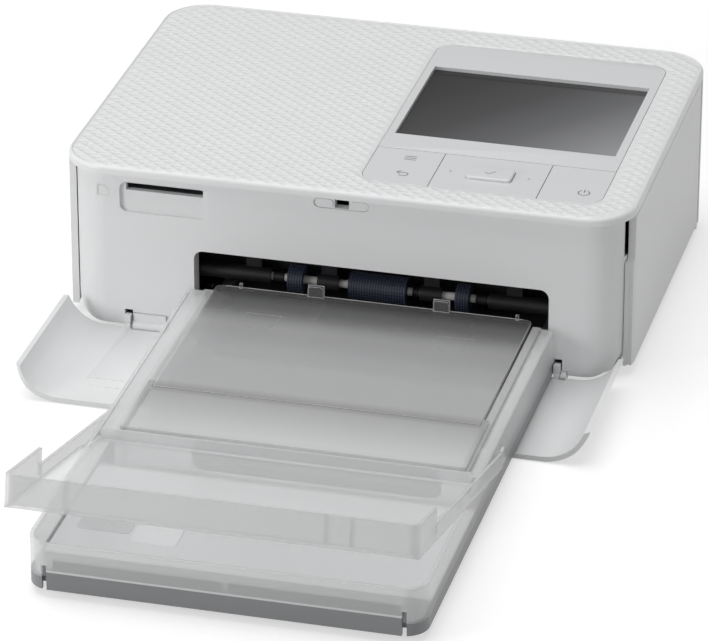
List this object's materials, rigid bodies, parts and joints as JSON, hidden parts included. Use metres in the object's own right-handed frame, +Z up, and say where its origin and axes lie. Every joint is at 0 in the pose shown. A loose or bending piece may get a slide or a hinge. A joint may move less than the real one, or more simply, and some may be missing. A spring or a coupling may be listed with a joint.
{
  "type": "photo printer",
  "caption": "Compact photo printer with a screen and keys on top, a folding front cover, a side ink door and a slide-in paper cassette with a print stacker.",
  "frame": {"origin": "under the middle of the whole part at rest, on the table", "axes": "+Z up, -Y towards the user, +X to the printer's right as seen from the front"},
  "size_m": [0.1822, 0.3126, 0.0582],
  "materials": {
    "shell": "fine satin",
    "top": "satin with fine facets",
    "panel": "glossy",
    "screen": "glossy, dark",
    "frost": "translucent, frosted",
    "pan": "satin grey",
    "black_plastic": "satin",
    "foot": "matt",
    "roller": "ribbed, matt",
    "steel": "brushed",
    "head": "satin",
    "gear": "natural",
    "pinion": "bright",
    "board": "lacquered",
    "cartridge": "satin",
    "ribbon": "film"
  },
  "bodies": {
    "body": {"base_pan": "shell", "rubber_feet": "foot", "front_fascia": "shell", "top_cover": "top", "control_panel": "panel", "lcd_module": "black_plastic", "lcd_glass": "screen", "key_board": "board", "left_side_panel": "shell", "rear_cover": "shell", "cover_catch": "shell", "card_socket": "steel", "left_frame": "steel", "right_frame": "steel", "frame_tie": "steel", "main_board": "board", "power_jack": "black_plastic", "usb_port": "steel", "frame_screws": "steel", "cover_pins": "steel", "ink_door_pins": "steel", "feed_frame": "black_plastic", "drive_motor": "steel", "ink_cartridge": "cartridge", "ribbon_film": "ribbon"},
    "front_cover": {"front_cover": "shell"},
    "ink_door": {"ink_door": "shell"},
    "menu_key": {"menu_key": "panel"},
    "arrow_key": {"arrow_key": "panel"},
    "ok_key": {"ok_key": "panel"},
    "power_key": {"power_key": "panel"},
    "feed_roll": {"feed_shaft": "steel", "pick_roller_left": "roller", "pick_roller_centre": "roller", "pick_roller_right": "roller", "feed_gear": "gear"},
    "feed_idler_a": {"feed_idler_a": "gear"},
    "feed_idler_b": {"feed_idler_b": "gear"},
    "capstan": {"capstan_roller": "steel", "capstan_gear": "gear"},
    "path_idler": {"path_idler": "gear"},
    "platen": {"platen_roller": "roller", "platen_gear": "gear"},
    "drive_idler": {"drive_idler": "gear"},
    "motor_rotor": {"motor_pinion": "pinion"},
    "pinch": {"pinch_roller": "roller"},
    "head": {"thermal_head": "head", "head_arm": "steel"},
    "supply": {"supply_spool": "cartridge"},
    "takeup": {"takeup_spool": "cartridge", "takeup_gear": "gear"},
    "cassette": {"cassette_pan": "pan", "cassette_tray": "frost"},
    "paper_lift": {"paper_lift": "black_plastic"},
    "inner_lid": {"inner_lid": "frost"},
    "stacker": {"print_stacker": "frost"}
  },
  "joints": [
    {"name": "front_cover_hinge", "type": "hinge", "parent": "body", "child": "front_cover", "pos_m": [0, 0.02523, 0.002], "axis": [-1, 0, 0], "range_deg": [0, 0.4]},
    {"name": "ink_door_hinge", "type": "hinge", "parent": "body", "child": "ink_door", "pos_m": [0.0896, 0.13983, 0.028], "axis": [0, 0, 1], "range_deg": [0, 90]},
    {"name": "menu_key_press", "type": "slide", "parent": "body", "child": "menu_key", "axis": [0, 0, -1], "range_m": [0, 0.0005], "stiffness_N_per_m": 900, "springref_m": -0.0006},
    {"name": "arrow_key_press", "type": "slide", "parent": "body", "child": "arrow_key", "axis": [0, 0, -1], "range_m": [0, 0.0005], "stiffness_N_per_m": 900, "springref_m": -0.0006},
    {"name": "ok_key_press", "type": "slide", "parent": "body", "child": "ok_key", "axis": [0, 0, -1], "range_m": [0, 0.0005], "stiffness_N_per_m": 900, "springref_m": -0.0006},
    {"name": "power_key_press", "type": "slide", "parent": "body", "child": "power_key", "axis": [0, 0, -1], "range_m": [0, 0.0005], "stiffness_N_per_m": 900, "springref_m": -0.0006},
    {"name": "platen_spin", "type": "hinge", "parent": "body", "child": "platen", "pos_m": [0.0092, 0.08953, 0.022], "axis": [1, 0, 0], "continuous": true},
    {"name": "capstan_spin", "type": "hinge", "parent": "body", "child": "capstan", "pos_m": [0.0092, 0.06353, 0.0252], "axis": [1, 0, 0], "continuous": true},
    {"name": "feed_spin", "type": "hinge", "parent": "body", "child": "feed_roll", "pos_m": [0.0092, 0.03553, 0.0202], "axis": [1, 0, 0], "continuous": true},
    {"name": "feed_idler_a_spin", "type": "hinge", "parent": "body", "child": "feed_idler_a", "pos_m": [0.0092, 0.05427, 0.02047], "axis": [1, 0, 0], "continuous": true},
    {"name": "feed_idler_b_spin", "type": "hinge", "parent": "body", "child": "feed_idler_b", "pos_m": [0.0092, 0.04561, 0.01632], "axis": [1, 0, 0], "continuous": true},
    {"name": "path_idler_spin", "type": "hinge", "parent": "body", "child": "path_idler", "pos_m": [0.0092, 0.07394, 0.0223], "axis": [1, 0, 0], "continuous": true},
    {"name": "drive_idler_spin", "type": "hinge", "parent": "body", "child": "drive_idler", "pos_m": [0.0092, 0.10953, 0.022], "axis": [1, 0, 0], "continuous": true},
    {"name": "motor_spin", "type": "hinge", "parent": "body", "child": "motor_rotor", "pos_m": [0.0092, 0.12393, 0.022], "axis": [1, 0, 0], "continuous": true},
    {"name": "pinch_spin", "type": "hinge", "parent": "body", "child": "pinch", "pos_m": [0.0092, 0.06353, 0.0321], "axis": [1, 0, 0], "continuous": true},
    {"name": "takeup_spin", "type": "hinge", "parent": "body", "child": "takeup", "pos_m": [0.0092, 0.10572, 0.04], "axis": [1, 0, 0], "continuous": true},
    {"name": "supply_spin", "type": "hinge", "parent": "body", "child": "supply", "pos_m": [0.0092, 0.07635, 0.04], "axis": [1, 0, 0], "continuous": true},
    {"name": "head_lift", "type": "hinge", "parent": "body", "child": "head", "pos_m": [0.0092, 0.12453, 0.046], "axis": [-1, 0, 0], "range_deg": [0, 2]},
    {"name": "cassette_slide", "type": "slide", "parent": "body", "child": "cassette", "axis": [0, -1, 0], "range_m": [0, 0.05]},
    {"name": "paper_lift_hinge", "type": "hinge", "parent": "cassette", "child": "paper_lift", "pos_m": [0.0092, 0.00353, 0.01], "axis": [-1, 0, 0], "range_deg": [0, 8], "stiffness_Nm_per_rad": 0.02, "springref_deg": -20.05},
    {"name": "inner_lid_hinge", "type": "hinge", "parent": "cassette", "child": "inner_lid", "pos_m": [0.0092, -0.04447, 0.0189], "axis": [1, 0, 0], "range_deg": [0, 60]},
    {"name": "stacker_hinge", "type": "hinge", "parent": "cassette", "child": "stacker", "pos_m": [0.0092, -0.04847, 0.0126], "axis": [-1, 0, 0], "range_deg": [0, 100]}
  ],
  "couplings": [
    {"joint": "path_idler_spin", "follows": "platen_spin", "ratio": -2},
    {"joint": "capstan_spin", "follows": "platen_spin", "ratio": 1.8571},
    {"joint": "feed_idler_a_spin", "follows": "platen_spin", "ratio": -2.1667},
    {"joint": "feed_idler_b_spin", "follows": "platen_spin", "ratio": 2.1667},
    {"joint": "feed_spin", "follows": "platen_spin", "ratio": -1.7333},
    {"joint": "drive_idler_spin", "follows": "platen_spin", "ratio": -1.0833},
    {"joint": "motor_spin", "follows": "platen_spin", "ratio": 2.1667},
    {"joint": "takeup_spin", "follows": "platen_spin", "ratio": 1.1818},
    {"joint": "pinch_spin", "follows": "platen_spin", "ratio": -1.698}
  ]
}
